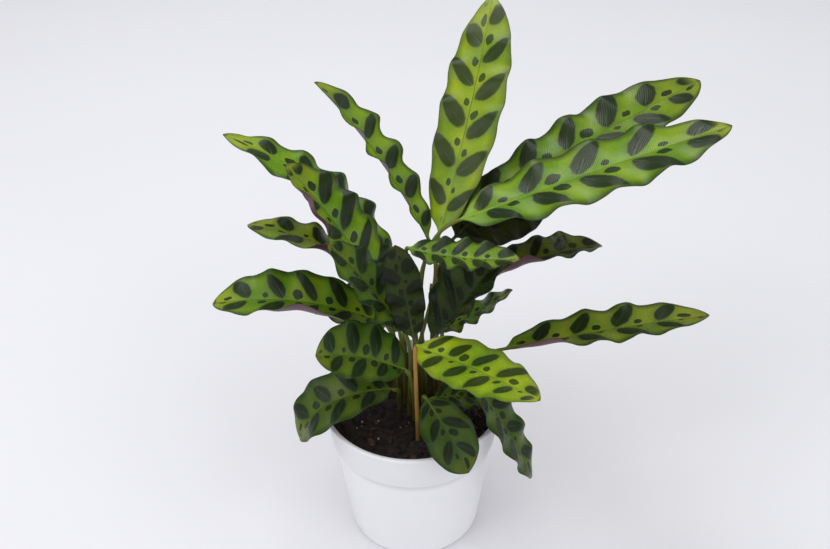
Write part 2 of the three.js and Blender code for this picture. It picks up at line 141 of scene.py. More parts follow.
def colour(name, description, code):
    return FloatVectorProperty(
        name=name, description=description, default=linear(code), size=3, min=0, max=1, subtype="COLOR"
    )


class PotSizes(PropertyGroup):
    height: length("Height", "From the table to the top of the lip", 0.132)
    base_radius: length("Base radius", "Outside, at the bottom edge", 0.0566)
    ledge_height: length("Ledge height", "Where the upper band steps out", 0.0956)
    ledge_radius: length("Ledge radius", "Outside, just below the ledge", 0.0666)
    band_radius: length("Band radius", "Outside, just above the ledge", 0.0692)
    band_top_radius: length("Band top radius", "Outside, just below the lip", 0.0734)
    lip_radius: length("Lip radius", "Outside of the rolled lip", 0.075)
    lip_height: length("Lip height", "Height of the rolled lip", 0.0042)
    wall: length("Wall", "Thickness of the wall", 0.0015)
    floor: length("Floor", "Height of the floor's upper side above the table", 0.004)
    hole_radius: length("Drain hole radius", "Radius of each drain hole", 0.005)
    hole_ring: length("Drain hole ring", "Radius of the ring on which the drain holes lie", 0.033)
    holes: IntProperty(name="Drain holes", description="Number of drain holes", default=6, min=1)
    sides: IntProperty(name="Sides", description="Facets round the pot", default=144, min=24)
    plastic: colour("Plastic", "Colour of the moulded plastic", 0xEBEBEE)
    # Painted shade: the grey toward which the pot is darkened just under the ledge and faintly over the band
    # above it.
    painted_ledge_shade: colour("Ledge tone", "Colour of the dust under the ledge", 0x9A9AA2)
    smudge: colour("Smudge", "Colour of the mix that clings to the inside", 0x4B3C30)


class MixSizes(PropertyGroup):
    level: length("Level", "Mean height of the surface", 0.121)
    lump: length("Lumps", "Height of the surface's lumps", 0.0008)
    mound: length("Mound", "How far the mix rises round the stalks", 0.0022)
    mound_radius: length("Mound radius", "Reach of that rise", 0.030)
    rough: length("Roughness", "Height of the fine crumble", 0.0011)
    ring_step: length("Ring step", "Distance between the rings of the surface", 0.0013)
    crumbs: IntProperty(name="Crumbs", description="Dark crumbs of peat", default=520, min=0)
    bark: IntProperty(name="Bark", description="Chips of bark", default=46, min=0)
    perlite: IntProperty(name="Perlite", description="White grains", default=26, min=0)
    straw: IntProperty(name="Straw", description="Dry fibres", default=22, min=0)
    peat_colour: colour("Peat", "Colour of the moist mix", 0x130E0C)
    dry_colour: colour("Dry peat", "Colour of its drier tops", 0x3B2F27)
    bark_colour: colour("Bark", "Colour of the bark chips", 0x6A4A35)
    perlite_colour: colour("Perlite", "Colour of the white grains", 0xB8B3A8)
    straw_colour: colour("Straw", "Colour of the dry fibres", 0xA98A55)


class LeafSizes(PropertyGroup):
    thickness: length("Thickness", "Thickness of the blade beside its midrib", 0.0008)
    margin: length("Margin thickness", "Thickness of the blade at its margin", 0.0003)
    keel: length("Keel", "How far the midrib stands out below, at the neck", 0.0011)
    groove: length("Groove", "Depth of the channel over the midrib", 0.0003)
    ring_step: length("Ring step", "Distance between rings along a blade", 0.0017)
    foot_radius: length("Stalk foot radius", "Where the stalk leaves the mix", 0.0018)
    neck_radius: length("Stalk neck radius", "Where the stalk meets the blade", 0.00135)
    joint_swell: length("Joint swell", "Extra radius of the joint below the blade", 0.0003)


class LeafColours(PropertyGroup):
    lime: colour("Lime", "Ground of the brightest blades", 0x96AE1E)
    green: colour("Green", "Ground of most blades", 0x7DA01A)
    dark: colour("Dark", "Ground of the oldest blades", 0x496219)
    olive: colour("Olive", "Ground of the yellowish blades", 0x8A9E2A)
    ripe: colour("Ripe tips", "Tint of a blade toward its tip", 0xA9A437)
    dry: colour("Dry tips", "Brown of the very tip", 0x5A4226)
    spot: colour("Spots", "Large and small dark marks", 0x1A2C12)
    margin: colour("Margin", "Dark band along the margin", 0x263F17)
    midrib: colour("Midrib", "Midrib of the upper face", 0x98AC48)
    below: colour("Underside", "Purple of the lower face", 0x4A2632)
    below_vein: colour("Underside veins", "Midrib and veins of the lower face", 0x7A4448)
    # Painted shade: the near-black brown toward which blades and stalks deep inside the plant are darkened.
    shaded: colour("Shaded", "Tint of the blades deep inside the plant", 0x15130B)
    stalk: colour("Stalk", "Stalk near the blade", 0x68752C)
    stalk_foot: colour("Stalk foot", "Stalk near the mix", 0x55521F)
    stalk_tan: colour("Tan stalk", "Stalk of a sunlit blade", 0xC68C46)


class StageSizes(PropertyGroup):
    floor: colour("Floor", "Colour of the table and backdrop", 0xE2E2E6)
    camera: FloatVectorProperty(
        name="Camera", description="Place of the camera", default=(0, -0.5908, 0.6632),
        subtype="TRANSLATION",
    )
    target: FloatVectorProperty(
        name="Target", description="Point the camera looks at", default=(0.0039, 0, 0.2541),
        subtype="TRANSLATION",
    )
    roll: FloatProperty(
        name="Roll", description="Turn of the camera about its line of sight", default=math.radians(-1.1),
        subtype="ANGLE", unit="ROTATION",
    )
    lens: FloatProperty(name="Lens", description="Focal length in millimetres", default=41.205, min=1)
    key: FloatProperty(name="Key light", description="Power in watts", default=9, min=0, unit="POWER")
    rear: FloatProperty(name="Rear light", description="Power in watts", default=17, min=0, unit="POWER")
    fill: FloatProperty(name="Fill light", description="Power in watts", default=6.5, min=0, unit="POWER")
    sky: FloatProperty(
        name="Surround", description="Strength of the light from all round", default=0.9, min=0
    )
    sky_back: share("Rear surround", "How bright the surround is behind the plant, 1 being as in front", 0.3)


# ---- mesh helpers --------------------------------------------------------------------------------

POLE = 0.002  # radius of the ring round the centre at which a turned body is closed


def clear_selection():
    """Object mode with nothing selected, so that an operator acts only on what is made next."""
    if bpy.context.object and bpy.context.object.mode != "OBJECT":
        bpy.ops.object.mode_set(mode="OBJECT")
    bpy.ops.object.select_all(action="DESELECT")


def select_only(obj):
    """Object mode with this object selected and active, and no other one."""
    clear_selection()
    obj.select_set(True)
    bpy.context.view_layer.objects.active = obj


def edit(select="SELECT"):
    bpy.ops.object.mode_set(mode="EDIT")
    bpy.ops.mesh.select_all(action=select)


def settle(obj, name):
    """Gives the piece its name and puts its place, turn and size into its mesh."""
    bpy.ops.object.mode_set(mode="OBJECT")
    bpy.ops.object.transform_apply(location=True, rotation=True, scale=True)
    obj.name = name
    obj.data.name = name
    return obj


def rounded(corners, steps=4):
    """Profile through (radius, height, reach) corners, each rounded by a curve that starts at that reach."""
    points = [corners[0][:2]]
    for (r0, z0, _), (r1, z1, size), (r2, z2, _) in zip(corners, corners[1:], corners[2:]):
        corner, back, on = Vector((r1, z1)), Vector((r0 - r1, z0 - z1)), Vector((r2 - r1, z2 - z1))
        reach = min(size, 0.45 * back.length, 0.45 * on.length)
        start, end = corner + back.normalized() * reach, corner + on.normalized() * reach
        if reach <= 0:
            points.append((r1, z1))
            continue
        for i in range(steps + 1):
            t = i / steps
            spot = start * (1 - t) ** 2 + corner * 2 * t * (1 - t) + end * t * t
            points.append((spot.x, spot.y))
    points.append(corners[-1][:2])
    return points


def turned(profile, sides):
    """A closed body of revolution: a circle is extruded ring by ring along the (radius, height) profile."""
    clear_selection()
    radius, height = profile[0]
    bpy.ops.mesh.primitive_circle_add(vertices=sides, radius=radius, location=(0, 0, height))
    obj = bpy.context.object
    bpy.ops.object.transform_apply(location=True)
    edit()
    for (r0, z0), (r1, z1) in zip(profile, profile[1:]):
        bpy.ops.mesh.extrude_region_move(TRANSFORM_OT_translate={"value": (0, 0, z1 - z0)})
        bpy.ops.transform.resize(value=(r1 / r0, r1 / r0, 1), center_override=(0, 0, z1))
    # The last ring is still selected and is closed, and then the first one, which is the only open edge.
    bpy.ops.mesh.edge_face_add()
    bpy.ops.mesh.poke()
    bpy.ops.mesh.select_all(action="DESELECT")
    bpy.ops.mesh.select_non_manifold()
    bpy.ops.mesh.edge_face_add()
    bpy.ops.mesh.poke()
    bpy.ops.mesh.select_all(action="SELECT")
    bpy.ops.mesh.normals_make_consistent(inside=False)
    bpy.ops.object.mode_set(mode="OBJECT")
    return obj


def points_of(obj):
    points = np.empty(len(obj.data.vertices) * 3)
    obj.data.vertices.foreach_get("co", points)
    return points.reshape(-1, 3)


def set_points(obj, points):
    obj.data.vertices.foreach_set("co", np.ascontiguousarray(points, dtype=np.float32).ravel())
    obj.data.update()


def smooth_by_angle(obj, degrees):
    select_only(obj)
    bpy.ops.object.shade_smooth_by_angle(angle=math.radians(degrees))


def finish_piece(obj, slot, *nodes):
    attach(obj, "root")
    if nodes:
        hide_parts(*nodes)


# ---- node helpers --------------------------------------------------------------------------------


class Wiring:
    """Places and links nodes of one tree; a plain number or colour is set on the socket itself."""

    def __init__(self, tree):
        self.tree = tree

    def node(self, kind, **settings):
        made = self.tree.nodes.new(kind)
        for key, value in settings.items():
            setattr(made, key, value)
        return made

    def feed(self, socket, value):
        if isinstance(value, bpy.types.NodeSocket):
            self.tree.links.new(value, socket)
        elif isinstance(value, (tuple, list)) and len(value) == 3 and socket.type == "RGBA":
            socket.default_value = (*value, 1)
        else:
            socket.default_value = value

    def math(self, operation, *values):
        made = self.node("ShaderNodeMath", operation=operation)
        for socket, value in zip(made.inputs, values):
            self.feed(socket, value)
        return made.outputs[0]

    def plus(self, a, b):
        return self.math("ADD", a, b)

    def minus(self, a, b):
        return self.math("SUBTRACT", a, b)

    def times(self, a, b):
        return self.math("MULTIPLY", a, b)

    def ramp(self, value, low, high, start=0.0, end=1.0):
        """Smooth step of a value from low to high."""
        made = self.node("ShaderNodeMapRange", interpolation_type="SMOOTHSTEP")
        for socket, given in zip(made.inputs, (value, low, high, start, end)):
            self.feed(socket, given)
        return made.outputs[0]

    def mix(self, factor, a, b):
        """Colour a turned toward b by the factor."""
        made = self.node("ShaderNodeMix", data_type="RGBA")
        self.feed(made.inputs[0], factor)
        self.feed(made.inputs[6], a)
        self.feed(made.inputs[7], b)
        return made.outputs[2]

    def uv(self, name):
        """The two coordinates of a UV map."""
        return self.parts(self.node("ShaderNodeUVMap", uv_map=name).outputs[0])[:2]

    def parts(self, vector):
        """The three parts of a vector."""
        made = self.node("ShaderNodeSeparateXYZ")
        self.feed(made.inputs[0], vector)
        return made.outputs

    def place(self):
        return self.node("ShaderNodeTexCoord").outputs["Object"]

    def noise(self, scale, detail):
        made = self.node("ShaderNodeTexNoise")
        for label, value in (("Vector", self.place()), ("Scale", scale), ("Detail", detail)):
            self.feed(made.inputs[label], value)
        return made.outputs["Fac"]

    def attribute(self, name):
        return self.node("ShaderNodeAttribute", attribute_name=name).outputs["Fac"]

    def bump(self, height, strength, distance):
        made = self.node("ShaderNodeBump")
        made.inputs["Strength"].default_value = strength
        made.inputs["Distance"].default_value = distance
        self.feed(made.inputs["Height"], height)
        return made.outputs[0]

    def group(self, tree, **values):
        made = self.node("ShaderNodeGroup", node_tree=tree)
        for key, value in values.items():
            self.feed(made.inputs[key.replace("_", " ")], value)
        return made.outputs


def new_group(name, inputs, outputs):
    """An empty node group with float inputs (name, default) and float outputs."""
    tree = bpy.data.node_groups.new(name, "ShaderNodeTree")
    for label, default in inputs:
        socket = tree.interface.new_socket(label, in_out="INPUT", socket_type="NodeSocketFloat")
        socket.default_value = default
    for label in outputs:
        tree.interface.new_socket(label, in_out="OUTPUT", socket_type="NodeSocketFloat")
    wiring = Wiring(tree)
    given = wiring.node("NodeGroupInput").outputs
    result = wiring.node("NodeGroupOutput").inputs
    return tree, wiring, given, result


def grain_group():
    """Uneven tone at two scales, used by every material: cloudy patches and fine grain, both 0 to 1."""
    known = bpy.data.node_groups.get("Uneven tone")
    if known:
        return known
    tree, w, given, result = new_group(
        "Uneven tone", [("Patch Scale", 40.0), ("Grain Scale", 900.0)], ["Patches", "Grain"]
    )
    for source, target, detail in (("Patch Scale", "Patches", 3.0), ("Grain Scale", "Grain", 2.0)):
        w.feed(result[target], w.ramp(w.noise(given[source], detail), 0.3, 0.7))
    return tree


def markings_group():
    """The marks of one blade face, from its two UV maps.

    Blade: distance from the midrib in units of 20 mm, share of the length. Marks: share of the half
    width, and a coordinate that grows by one from each large mark to the next and leans as veins do.
    """
    known = bpy.data.node_groups.get("Rattlesnake markings")
    if known:
        return known
    tree, w, given, result = new_group(
        "Rattlesnake markings",
        [("Size", 1.0), ("Reach", 0.4), ("Width", 0.24), ("Small", 0.108), ("Blur", 0.19), ("Wander", 0.09)],
        ["Marks", "Halo", "Core", "Streak", "Margin", "Edge", "Midrib", "Pale", "Veins", "Tip", "Dry"],
    )
    across, along = w.uv("Blade")
    side, turn = w.uv("Marks")
    wander = w.times(w.minus(w.noise(170, 2), 0.5), given["Wander"])
    side_bent = w.plus(side, wander)
    sway = w.times(w.minus(w.noise(120, 2), 0.5), given["Wander"])
    turn_bent = w.plus(turn, sway)

    def cell(shift):
        """Distance from the nearest mark's axis, and three random numbers of that mark."""
        moved = w.plus(turn_bent, shift)
        number = w.math("FLOOR", moved)
        middle = w.minus(w.minus(moved, number), 0.5)
        chance = w.node("ShaderNodeTexWhiteNoise", noise_dimensions="1D")
        w.feed(chance.inputs["W"], w.plus(number, shift))
        return middle, w.parts(chance.outputs["Color"])

    def blob(middle, centre, reach, width, long_power, short_power, slope):
        """Two masks of a closed oval about (centre, 0): its inside, and the same with a wide soft rim.

        Slope squares the oval to its axis.
        """
        square = w.plus(side_bent, w.times(middle, slope))
        dx = w.math("ABSOLUTE", w.math("DIVIDE", w.minus(square, centre), reach))
        dy = w.math("ABSOLUTE", w.math("DIVIDE", middle, width))
        far = w.plus(w.math("POWER", dx, long_power), w.math("POWER", dy, short_power))
        low = w.minus(1.0, given["Blur"])
        high = w.plus(1.0, given["Blur"])
        return w.ramp(far, low, high, 1.0, 0.0), w.ramp(far, 0.0, 2.6, 1.0, 0.0)

    off_rib = 0.07  # bare strip between the midrib and the marks
    middle, chance = cell(0.5)
    reach = w.plus(given["Reach"], w.times(w.minus(chance[0], 0.5), 0.14))
    reach = w.times(reach, given["Size"])
    width = w.times(given["Width"], w.plus(0.85, w.times(chance[1], 0.3)))
    width = w.times(width, given["Size"])
    large, rim = blob(middle, w.plus(reach, off_rib), reach, width, 2.1, 1.5, 0.45)
    small_middle, small_chance = cell(0.0)
    size = w.times(given["Small"], w.plus(0.6, w.times(small_chance[0], 0.7)))
    small, _ = blob(
        small_middle, w.plus(size, off_rib), size, w.times(size, 1.2), 2.6, 2.6, 0.3
    )
    ends = w.times(w.ramp(along, 0.03, 0.1), w.ramp(along, 0.99, 0.93))
    w.feed(result["Marks"], w.times(w.math("MAXIMUM", large, small), ends))
    w.feed(result["Halo"], w.times(rim, ends))
    w.feed(result["Core"], w.ramp(rim, 0.55, 1.0))

    # Streak: a line down the middle of each large mark, fading toward the margin; the upper face paints it
    # paler, partly as a real vein and partly as a painted highlight, and creases it.
    line = w.ramp(w.math("ABSOLUTE", middle), 0.0, 0.045, 1.0, 0.0)
    w.feed(result["Streak"], w.times(line, w.times(large, w.ramp(side, 0.75, 0.3))))
    w.feed(result["Margin"], w.ramp(side_bent, 0.68, 1.0))
    w.feed(result["Edge"], w.ramp(side, 0.955, 0.985))
    rib = w.times(w.minus(1.25, along), 0.026)
    w.feed(result["Midrib"], w.ramp(w.math("ABSOLUTE", across), w.times(rib, 0.5), rib, 1.0, 0.0))
    w.feed(result["Pale"], w.ramp(along, 0.55, 0.05))
    uneven_tip = w.plus(along, w.times(wander, 0.5))
    w.feed(result["Tip"], w.ramp(uneven_tip, 0.72, 0.98))
    w.feed(result["Dry"], w.ramp(uneven_tip, 0.975, 0.992))
    fine_veins = 22  # from each large mark to the next
    fine = w.math("SINE", w.times(turn, 2 * math.pi * fine_veins))
    w.feed(result["Veins"], w.plus(0.5, w.times(fine, 0.5)))
    return tree


# ---- materials -----------------------------------------------------------------------------------


def scaled(tint, factor):
    return tuple(part * factor for part in tint)


def new_material(name, **constants):
    """A material with its shader; constants are set on the shader's own sockets."""
    made = bpy.data.materials.new(name)
    made.use_nodes = True
    shader = made.node_tree.nodes["Principled BSDF"]
    for key, value in constants.items():
        shader.inputs[key.replace("_", " ")].default_value = value
    return made, Wiring(made.node_tree), shader


# How each tone of blade differs: gloss; strength of the dark margin, the marks, the midrib, the halo round
# the marks and the ripe tip; how much redder, greener and bluer than its ground its pale patches are.
Finish = namedtuple("Finish", "gloss margin marks midrib halo tip patches")
FINISHES = {
    "lime": Finish(0.2, 0.5, 0.86, 0.75, 0.4, 0.25, (1.18, 1.1, 1.1)),
    "green": Finish(0.2, 0.85, 0.95, 0.75, 0.45, 0.4, (1.18, 1.1, 1.1)),
    "dark": Finish(0.14, 0.85, 0.95, 0.4, 0.75, 0.2, (1.5, 1.25, 0.9)),
    "olive": Finish(0.2, 0.85, 0.95, 0.4, 0.45, 0.4, (1.18, 1.1, 1.1)),
}


def upper_face(tone):
    """Glossy upper face of a blade: bright ground, dark alternating marks, dark margin, thin midrib."""
    name = f"Leaf upper face, {tone}"
    known = bpy.data.materials.get(name)
    if known:
        return known
    colours = bpy.context.scene.plant_leaf_colours
    finish = FINISHES[tone]
    made, w, shader = new_material(name, Specular_IOR_Level=finish.gloss)
    marks = w.group(markings_group(), Size=w.attribute("marks"))
    tones = w.group(grain_group(), Patch_Scale=34.0, Grain_Scale=700.0)
    ground = getattr(colours, tone)
    deep = tuple(x * y for x, y in zip(ground, (0.6, 0.76, 0.7)))
    pale = tuple(min(1, x * y) for x, y in zip(ground, finish.patches))
    base = w.mix(tones["Patches"], deep, pale)
    base = w.mix(w.times(marks["Veins"], 0.12), base, deep)
    base = w.mix(w.times(marks["Tip"], finish.tip), base, tuple(colours.ripe))
    margin = tuple(colours.margin)
    base = w.mix(w.times(marks["Margin"], finish.margin), base, margin)
    base = w.mix(w.times(marks["Halo"], finish.halo), base, scaled(margin, 1.7))
    spot = tuple(colours.spot)
    # A paler spot colour for the fine veins on the marks and the line down each large mark; on that line it
    # is partly a real pale vein and partly a painted highlight.
    pale_vein_and_glint = tuple(x * 1.8 + 0.006 for x in spot)
    dark = w.mix(tones["Patches"], scaled(spot, 0.7), scaled(spot, 1.3))
    dark = w.mix(w.times(marks["Core"], 0.5), dark, scaled(spot, 0.45))
    # Painted highlight, partly: the pale line down each large mark.
    dark = w.mix(w.times(marks["Streak"], 0.8), dark, pale_vein_and_glint)
    dark = w.mix(w.times(marks["Veins"], 0.2), dark, pale_vein_and_glint)
    base = w.mix(w.times(marks["Marks"], finish.marks), base, dark)
    rib = w.mix(marks["Pale"], scaled(margin, 1.3), tuple(colours.midrib))
    base = w.mix(w.times(marks["Midrib"], finish.midrib), base, rib)
    base = w.mix(w.times(marks["Edge"], 0.4), base, scaled(margin, 0.5))
    base = w.mix(w.times(marks["Dry"], 0.8), base, tuple(colours.dry))
    # Painted shade, partly: the blade darkened toward the shaded tint by its shade value.
    base = w.mix(w.times(w.attribute("shade"), 0.62), base, tuple(colours.shaded))
    w.feed(shader.inputs["Base Color"], base)
    rough = w.plus(0.2, w.times(tones["Grain"], 0.1))
    w.feed(shader.inputs["Roughness"], w.plus(rough, w.times(marks["Marks"], -0.08)))
    height = w.times(marks["Veins"], w.plus(0.4, w.times(marks["Marks"], 0.35)))
    height = w.plus(height, w.times(tones["Grain"], 0.1))
    height = w.plus(height, w.times(marks["Halo"], 1.2))
    height = w.minus(height, w.plus(marks["Midrib"], marks["Streak"]))
    w.feed(shader.inputs["Normal"], w.bump(height, 0.35, 0.0004))
    return made


def lower_face():
    """Purple lower face with a stout paler midrib."""
    known = bpy.data.materials.get("Leaf underside")
    if known:
        return known
    colours = bpy.context.scene.plant_leaf_colours
    made, w, shader = new_material("Leaf underside", Specular_IOR_Level=0.3)
    marks = w.group(markings_group(), Size=w.attribute("marks"))
    tones = w.group(grain_group(), Patch_Scale=60.0, Grain_Scale=800.0)
    below = tuple(colours.below)
    base = w.mix(tones["Patches"], scaled(below, 0.7), scaled(below, 1.25))
    base = w.mix(w.times(marks["Marks"], 0.45), base, scaled(below, 0.5))
    base = w.mix(w.times(marks["Veins"], 0.2), base, tuple(colours.below_vein))
    base = w.mix(w.times(marks["Midrib"], 0.8), base, tuple(colours.below_vein))
    w.feed(shader.inputs["Base Color"], base)
    w.feed(shader.inputs["Roughness"], w.plus(0.36, w.times(tones["Grain"], 0.12)))
    height = w.plus(w.times(marks["Veins"], 0.6), w.times(tones["Grain"], 0.2))
    w.feed(shader.inputs["Normal"], w.bump(height, 0.4, 0.0004))
    return made


def stalk_skin():
    """Ribbed stalk that turns from green at the blade to brown at its foot."""
    known = bpy.data.materials.get("Leaf stalk")
    if known:
        return known
    colours = bpy.context.scene.plant_leaf_colours
    made, w, shader = new_material("Leaf stalk", Roughness=0.45, Specular_IOR_Level=0.2)
    tones = w.group(grain_group(), Patch_Scale=90.0, Grain_Scale=1100.0)
    around, down = w.uv("Blade")
    mixed = w.ramp(w.plus(down, w.times(tones["Patches"], 0.3)), -0.9, 0.05)
    base = w.mix(mixed, tuple(colours.stalk_foot), tuple(colours.stalk))
    tan = w.times(w.attribute("tan"), w.plus(0.3, w.times(mixed, 0.7)))
    tan = w.times(tan, w.ramp(down, -0.02, -0.12))
    base = w.mix(tan, base, tuple(colours.stalk_tan))
    base = w.mix(w.times(tones["Grain"], 0.3), base, scaled(colours.stalk_foot, 0.5))
    # Painted shade: the stalk darkened toward the shaded tint by its leaf's shade value.
    base = w.mix(w.times(w.attribute("shade"), 0.4), base, tuple(colours.shaded))
    w.feed(shader.inputs["Base Color"], base)
    ribs = 12
    ribbing = w.math("SINE", w.times(around, 2 * math.pi * ribs))
    height = w.plus(w.times(ribbing, 0.3), tones["Grain"])
    w.feed(shader.inputs["Normal"], w.bump(height, 0.35, 0.0003))
    return made


def pot_plastic():
    """Satin white plastic, faintly uneven, with painted shade at the ledge and mix clinging to the inside."""
    sizes = bpy.context.scene.plant_pot
    made, w, shader = new_material("Pot plastic")
    tones = w.group(grain_group(), Patch_Scale=14.0, Grain_Scale=1500.0)
    plastic = tuple(sizes.plastic)
    base = w.mix(tones["Patches"], scaled(plastic, 0.97), plastic)
    x, y, z = w.parts(w.place())
    radius = w.math("SQRT", w.plus(w.math("POWER", x, 2.0), w.math("POWER", y, 2.0)))
    above_ledge = w.minus(z, sizes.ledge_height)
    slope = (sizes.band_top_radius - sizes.band_radius) / (sizes.height - sizes.ledge_height)
    middle = w.plus(sizes.band_radius - sizes.wall / 2, w.times(above_ledge, slope))
    inside = w.ramp(w.minus(radius, middle), 0.0001, -0.0003)
    near_mix = w.times(w.ramp(z, 0.127, 0.121), w.ramp(z, 0.112, 0.114))
    specks = w.ramp(w.noise(420, 3), 0.52, 0.62)
    base = w.mix(w.times(w.times(inside, near_mix), specks), base, tuple(sizes.smudge))
    # Painted shade: darker just under the ledge's overhang, fading downward, and faintly darker over the band
    # above the ledge.
    under = w.times(w.ramp(above_ledge, -0.009, -0.001), w.ramp(above_ledge, 0.0022, 0.001))
    band = w.ramp(above_ledge, 0.001, 0.004)
    base = w.mix(w.plus(w.times(under, 0.3), w.times(band, 0.12)), base, tuple(sizes.painted_ledge_shade))
    w.feed(shader.inputs["Base Color"], base)
    w.feed(shader.inputs["Roughness"], w.plus(0.3, w.times(tones["Patches"], 0.12)))
    w.feed(shader.inputs["Normal"], w.bump(tones["Grain"], 0.06, 0.0003))
    return made


def crumbly(name, colour_a, colour_b, roughness, scale):
    """A dull, crumbly material between two colours."""
    made, w, shader = new_material(name, Roughness=roughness)
    tones = w.group(grain_group(), Patch_Scale=scale, Grain_Scale=scale * 5)
    base = w.mix(tones["Patches"], tuple(colour_a), tuple(colour_b))
    base = w.mix(w.times(tones["Grain"], 0.45), base, scaled(colour_a, 0.45))
    w.feed(shader.inputs["Base Color"], base)
    w.feed(shader.inputs["Normal"], w.bump(tones["Grain"], 0.7, 0.0008))
    return made


# ---- leaves --------------------------------------------------------------------------------------

BROADEST = 0.52  # where a blade is broadest, as a share of its length
SLANT, BEND = 0.5, 0.3  # lean of the veins at the midrib, and what the margin adds
CREST = 0.25  # where a ripple stands highest, in turns
RIB_REACH = 0.0011  # how far to each side the keel and the groove of the midrib reach
UV_UNIT = 20  # millimetres across a blade in one unit of its UV map
STALK_END = 0.012  # share of a blade's length up to which it has the stalk's skin
STRAIGHT_FOOT = 0.0045  # height above the mix up to which a stalk is straight and upright
BURIED_DEPTHS = (0.0275, 0.0165, 0.0055)  # of a stalk's lowest rings below that height
STALK_STEP = 0.005  # mean distance between the rings of a long stalk
JOINT_PLACE, JOINT_SPREAD = 0.008, 0.005  # distance of a stalk's joint from the neck, and its spread


def outline(s):
    """Half width of a blade at s, as a share of its greatest half width."""
    low = np.clip((BROADEST - s) / BROADEST, 0, 1)
    high = np.clip((s - BROADEST) / (1 - BROADEST), 0, 1)
    return np.where(s < BROADEST, (1 - low**2.2) ** 0.62, (1 - high**2.6) ** 0.74)


def smoothstep(x, low, high):
    t = np.clip((x - low) / (high - low), 0, 1)
    return t * t * (3 - 2 * t)


def blade_frame(leaf, s):
    """Directions along the midrib, across the blade and out of its upper face at each s."""
    heading, swing, pitch, arch = leaf[3]
    roll, twist, _ = leaf[5]
    around, rise = np.radians(heading + swing * s), np.radians(pitch - arch * s)
    along = np.stack([np.cos(rise) * np.cos(around), np.cos(rise) * np.sin(around), np.sin(rise)], -1)
    level = np.stack([np.sin(around), -np.cos(around), np.zeros_like(s)], -1)
    upper = np.cross(level, along)
    turn = np.radians(roll + twist * s)[:, None]
    across = level * np.cos(turn) + upper * np.sin(turn)
    out = upper * np.cos(turn) - level * np.sin(turn)
    return along, across, out


def midrib(leaf, s):
    """Points of the midrib at each s, in metres."""
    steps = 96
    size = leaf[4][0] * MM
    along = blade_frame(leaf, (np.arange(steps) + 0.5) / steps)[0] * size / steps
    points = np.vstack([np.zeros(3), np.cumsum(along, 0)]) + np.array(leaf[1]) * MM
    at = np.linspace(0, 1, steps + 1)
    return np.stack([np.interp(s, at, points[:, i]) for i in range(3)], -1)


def ripple_turns(leaf, number, s, right):
    """Ripples passed since the neck, along the right or the left margin."""
    return leaf[6][0] * np.where(right, 1.08 * s + 0.35, s) + 0.21 * number


def lift(leaf, number, s, v):
    """Height of the blade over its midrib at s and share v of the half width, in metres."""
    width, fold, ruffle = leaf[4][1] * MM, math.radians(leaf[5][2]), leaf[6][1] * MM
    side = np.abs(v)
    dish = width / 2 * outline(s) * (math.sin(fold) * side - 0.1 * side**2)
    fade = np.minimum(1, 4 * s) * np.minimum(1, 3 * (1 - s))
    swell = 1 + 0.3 * np.sin(2 * np.pi * (1.3 * s + 0.37 * number))
    turns = ripple_turns(leaf, number, s, v > 0)
    wave = np.sin(2 * np.pi * turns)
    crinkle = 0.09 * side**5 * np.sin(2 * np.pi * (2.7 * turns + 0.4 * number))
    half_turned, height, middle, spread = TURNED.get(number, (1, 0, 0, 1))
    turned_up = height * MM * side**4 * np.exp(-(((s - middle) / spread) ** 2)) * (v * half_turned > 0)
    return dish + fade * (turned_up + ruffle * swell * (side**1.6 * wave + crinkle))


def marks_turn(leaf, number, s, side, right):
    """Coordinate that grows by one from each large mark to the next; marks end on a ripple's crest."""
    waves, (size, width) = leaf[6][0], leaf[4]
    step = size / waves
    half = width / 2 * outline(s)

    def lean(share_across):
        left_lean, right_lean = LEANS.get(number, (1.0, 1.0))
        strength = np.where(right, right_lean, left_lean)
        return strength * half * share_across * (SLANT + BEND * share_across) / step

    turns = ripple_turns(leaf, number, s, right)
    return turns - CREST - lean(side) + lean(0.7) + 20 * number + 10 * right


def stalk_rings(leaf, sizes):
    """Centre, directions, radius and share of each ring of the stalk, from its foot to below the neck."""
    neck = np.array(leaf[1]) * MM
    level = bpy.context.scene.plant_mix.level
    top = np.array([*(np.array(leaf[0]) * MM), level + STRAIGHT_FOOT])
    span = np.linalg.norm(neck - top)
    along, across, out = (x[0] for x in blade_frame(leaf, np.zeros(1)))
    points = [top, top + np.array([0, 0, 0.42 * span]), neck - along * span * leaf[2], neck]

    def at(t):
        weights = ((1 - t) ** 3, 3 * t * (1 - t) ** 2, 3 * t * t * (1 - t), t**3)
        return sum(p * k for p, k in zip(points, weights))

    def slope(t):
        a, b, c = (q - p for p, q in zip(points, points[1:]))
        d = a * (1 - t) ** 2 + b * 2 * t * (1 - t) + c * t * t
        return d / np.linalg.norm(d)

    count = max(16, int(span / STALK_STEP))
    stations = [(at(t), slope(t), t) for t in (1 - (1 - i / count) ** 1.3 for i in range(count))]
    up = np.array([0.0, 0.0, 1.0])
    buried = [(top - up * depth, up, -0.01) for depth in BURIED_DEPTHS]
    rings = []
    direction = Vector(along)
    across, out = Vector(across), Vector(out)
    for centre, heading, t in reversed(buried + stations):
        turn = direction.rotation_difference(Vector(heading))
        across.rotate(turn)
        out.rotate(turn)
        direction = Vector(heading)
        to_neck = np.linalg.norm(neck - centre)
        near = max(t, 0)
        swell = sizes.joint_swell * math.exp(-(((to_neck - JOINT_PLACE) / JOINT_SPREAD) ** 2))
        radius = sizes.foot_radius + (sizes.neck_radius - sizes.foot_radius) * near + swell
        rings.append((centre, np.array(across), np.array(out), radius, t - 1))
    return rings[::-1]


